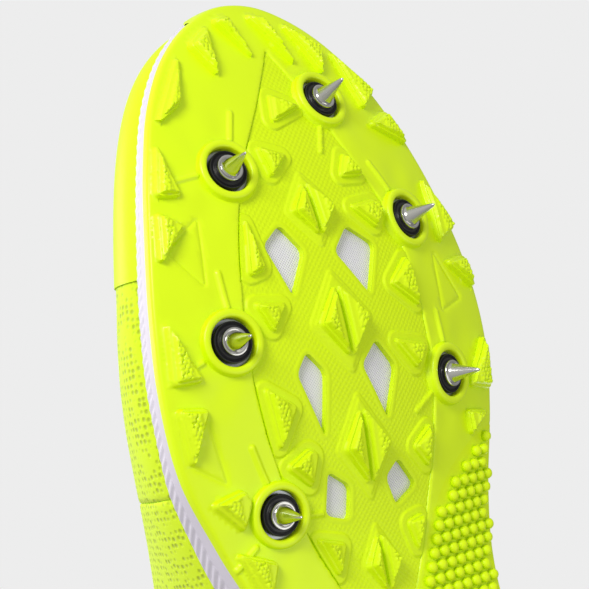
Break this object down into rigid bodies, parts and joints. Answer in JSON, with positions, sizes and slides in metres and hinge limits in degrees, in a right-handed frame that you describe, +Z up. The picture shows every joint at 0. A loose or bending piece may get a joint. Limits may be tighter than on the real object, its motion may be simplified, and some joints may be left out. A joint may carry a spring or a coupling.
{
  "type": "cross-country running spike shoe",
  "caption": "Left cross-country running spike shoe with a lugged spike plate and removable screw-in metal spikes.",
  "frame": {"origin": "centre of the bounding box at the ground, under the sole", "axes": "+X to the lateral side, +Y towards the heel, +Z up; the toe points along -Y"},
  "size_m": [0.0942, 0.2857, 0.1044],
  "materials": {
    "plate_tpu": "gloss",
    "web_tpu": "satin",
    "backing_fabric": "matte",
    "tread_rubber": "matte",
    "midsole_foam": "matte",
    "strobel_fabric": "matte",
    "sockliner_foam": "matte",
    "upper_mesh": "matte",
    "overlay_film": "satin",
    "counter_board": "matte",
    "lining_fabric": "matte",
    "tongue_mesh": "matte",
    "webbing": "matte",
    "lace_weave": "matte",
    "aglet_plastic": "gloss",
    "receptacle_metal": "satin",
    "washer_black": "satin",
    "spike_steel": "polished"
  },
  "bodies": {
    "shoe": {"spike_plate": "plate_tpu", "grip_web": "web_tpu", "plate_backing": "backing_fabric", "rear_tread": "tread_rubber", "midsole": "midsole_foam", "strobel_board": "strobel_fabric", "sockliner": "sockliner_foam", "vamp": "upper_mesh", "medial_quarter": "upper_mesh", "lateral_quarter": "upper_mesh", "heel_panel": "upper_mesh", "toe_overlay": "overlay_film", "medial_eyestay": "overlay_film", "lateral_eyestay": "overlay_film", "heel_overlay": "overlay_film", "heel_counter": "counter_board", "collar_padding": "lining_fabric", "tongue": "tongue_mesh", "tongue_loop": "webbing", "pull_tab": "webbing", "lace": "lace_weave", "lace_aglets": "aglet_plastic", "receptacle_1": "receptacle_metal", "receptacle_2": "receptacle_metal", "receptacle_3": "receptacle_metal", "receptacle_4": "receptacle_metal", "receptacle_5": "receptacle_metal", "receptacle_6": "receptacle_metal"},
    "washer_carrier_1": {"washer_1": "washer_black"},
    "screw_1": {"spike_1": "spike_steel"},
    "washer_carrier_2": {"washer_2": "washer_black"},
    "screw_2": {"spike_2": "spike_steel"},
    "washer_carrier_3": {"washer_3": "washer_black"},
    "screw_3": {"spike_3": "spike_steel"},
    "washer_carrier_4": {"washer_4": "washer_black"},
    "screw_4": {"spike_4": "spike_steel"},
    "washer_carrier_5": {"washer_5": "washer_black"},
    "screw_5": {"spike_5": "spike_steel"},
    "washer_carrier_6": {"washer_6": "washer_black"},
    "screw_6": {"spike_6": "spike_steel"}
  },
  "joints": [
    {"name": "washer_lift_1", "type": "slide", "parent": "shoe", "child": "washer_carrier_1", "axis": [0.1156, -0.2996, -0.947], "range_m": [0, 0.00424]},
    {"name": "spike_turn_1", "type": "hinge", "parent": "washer_carrier_1", "child": "screw_1", "pos_m": [0.013, -0.1175, 0.01579], "axis": [0.1156, -0.2996, -0.947], "range_deg": [0, 1440]},
    {"name": "washer_lift_2", "type": "slide", "parent": "shoe", "child": "washer_carrier_2", "axis": [-0.0854, -0.2267, -0.9702], "range_m": [0, 0.00424]},
    {"name": "spike_turn_2", "type": "hinge", "parent": "washer_carrier_2", "child": "screw_2", "pos_m": [-0.0195, -0.103, 0.0115], "axis": [-0.0854, -0.2267, -0.9702], "range_deg": [0, 1440]},
    {"name": "washer_lift_3", "type": "slide", "parent": "shoe", "child": "washer_carrier_3", "axis": [0.2145, -0.1432, -0.9662], "range_m": [0, 0.00424]},
    {"name": "spike_turn_3", "type": "hinge", "parent": "washer_carrier_3", "child": "screw_3", "pos_m": [0.0265, -0.088, 0.01126], "axis": [0.2145, -0.1432, -0.9662], "range_deg": [0, 1440]},
    {"name": "washer_lift_4", "type": "slide", "parent": "shoe", "child": "washer_carrier_4", "axis": [-0.1442, -0.0282, -0.9892], "range_m": [0, 0.00424]},
    {"name": "spike_turn_4", "type": "hinge", "parent": "washer_carrier_4", "child": "screw_4", "pos_m": [-0.03, -0.067, 0.008], "axis": [-0.1442, -0.0282, -0.9892], "range_deg": [0, 1440]},
    {"name": "washer_lift_5", "type": "slide", "parent": "shoe", "child": "washer_carrier_5", "axis": [0.2264, 0.0709, -0.9714], "range_m": [0, 0.00424]},
    {"name": "spike_turn_5", "type": "hinge", "parent": "washer_carrier_5", "child": "screw_5", "pos_m": [0.028, -0.052, 0.01005], "axis": [0.2264, 0.0709, -0.9714], "range_deg": [0, 1440]},
    {"name": "washer_lift_6", "type": "slide", "parent": "shoe", "child": "washer_carrier_6", "axis": [-0.1192, 0.1221, -0.9853], "range_m": [0, 0.00424]},
    {"name": "spike_turn_6", "type": "hinge", "parent": "washer_carrier_6", "child": "screw_6", "pos_m": [-0.0255, -0.0305, 0.01018], "axis": [-0.1192, 0.1221, -0.9853], "range_deg": [0, 1440]}
  ],
  "couplings": [
    {"joint": "spike_turn_1", "follows": "washer_lift_1", "rad_per_m": 5927.5},
    {"joint": "spike_turn_2", "follows": "washer_lift_2", "rad_per_m": 5927.5},
    {"joint": "spike_turn_3", "follows": "washer_lift_3", "rad_per_m": 5927.5},
    {"joint": "spike_turn_4", "follows": "washer_lift_4", "rad_per_m": 5927.5},
    {"joint": "spike_turn_5", "follows": "washer_lift_5", "rad_per_m": 5927.5},
    {"joint": "spike_turn_6", "follows": "washer_lift_6", "rad_per_m": 5927.5}
  ]
}
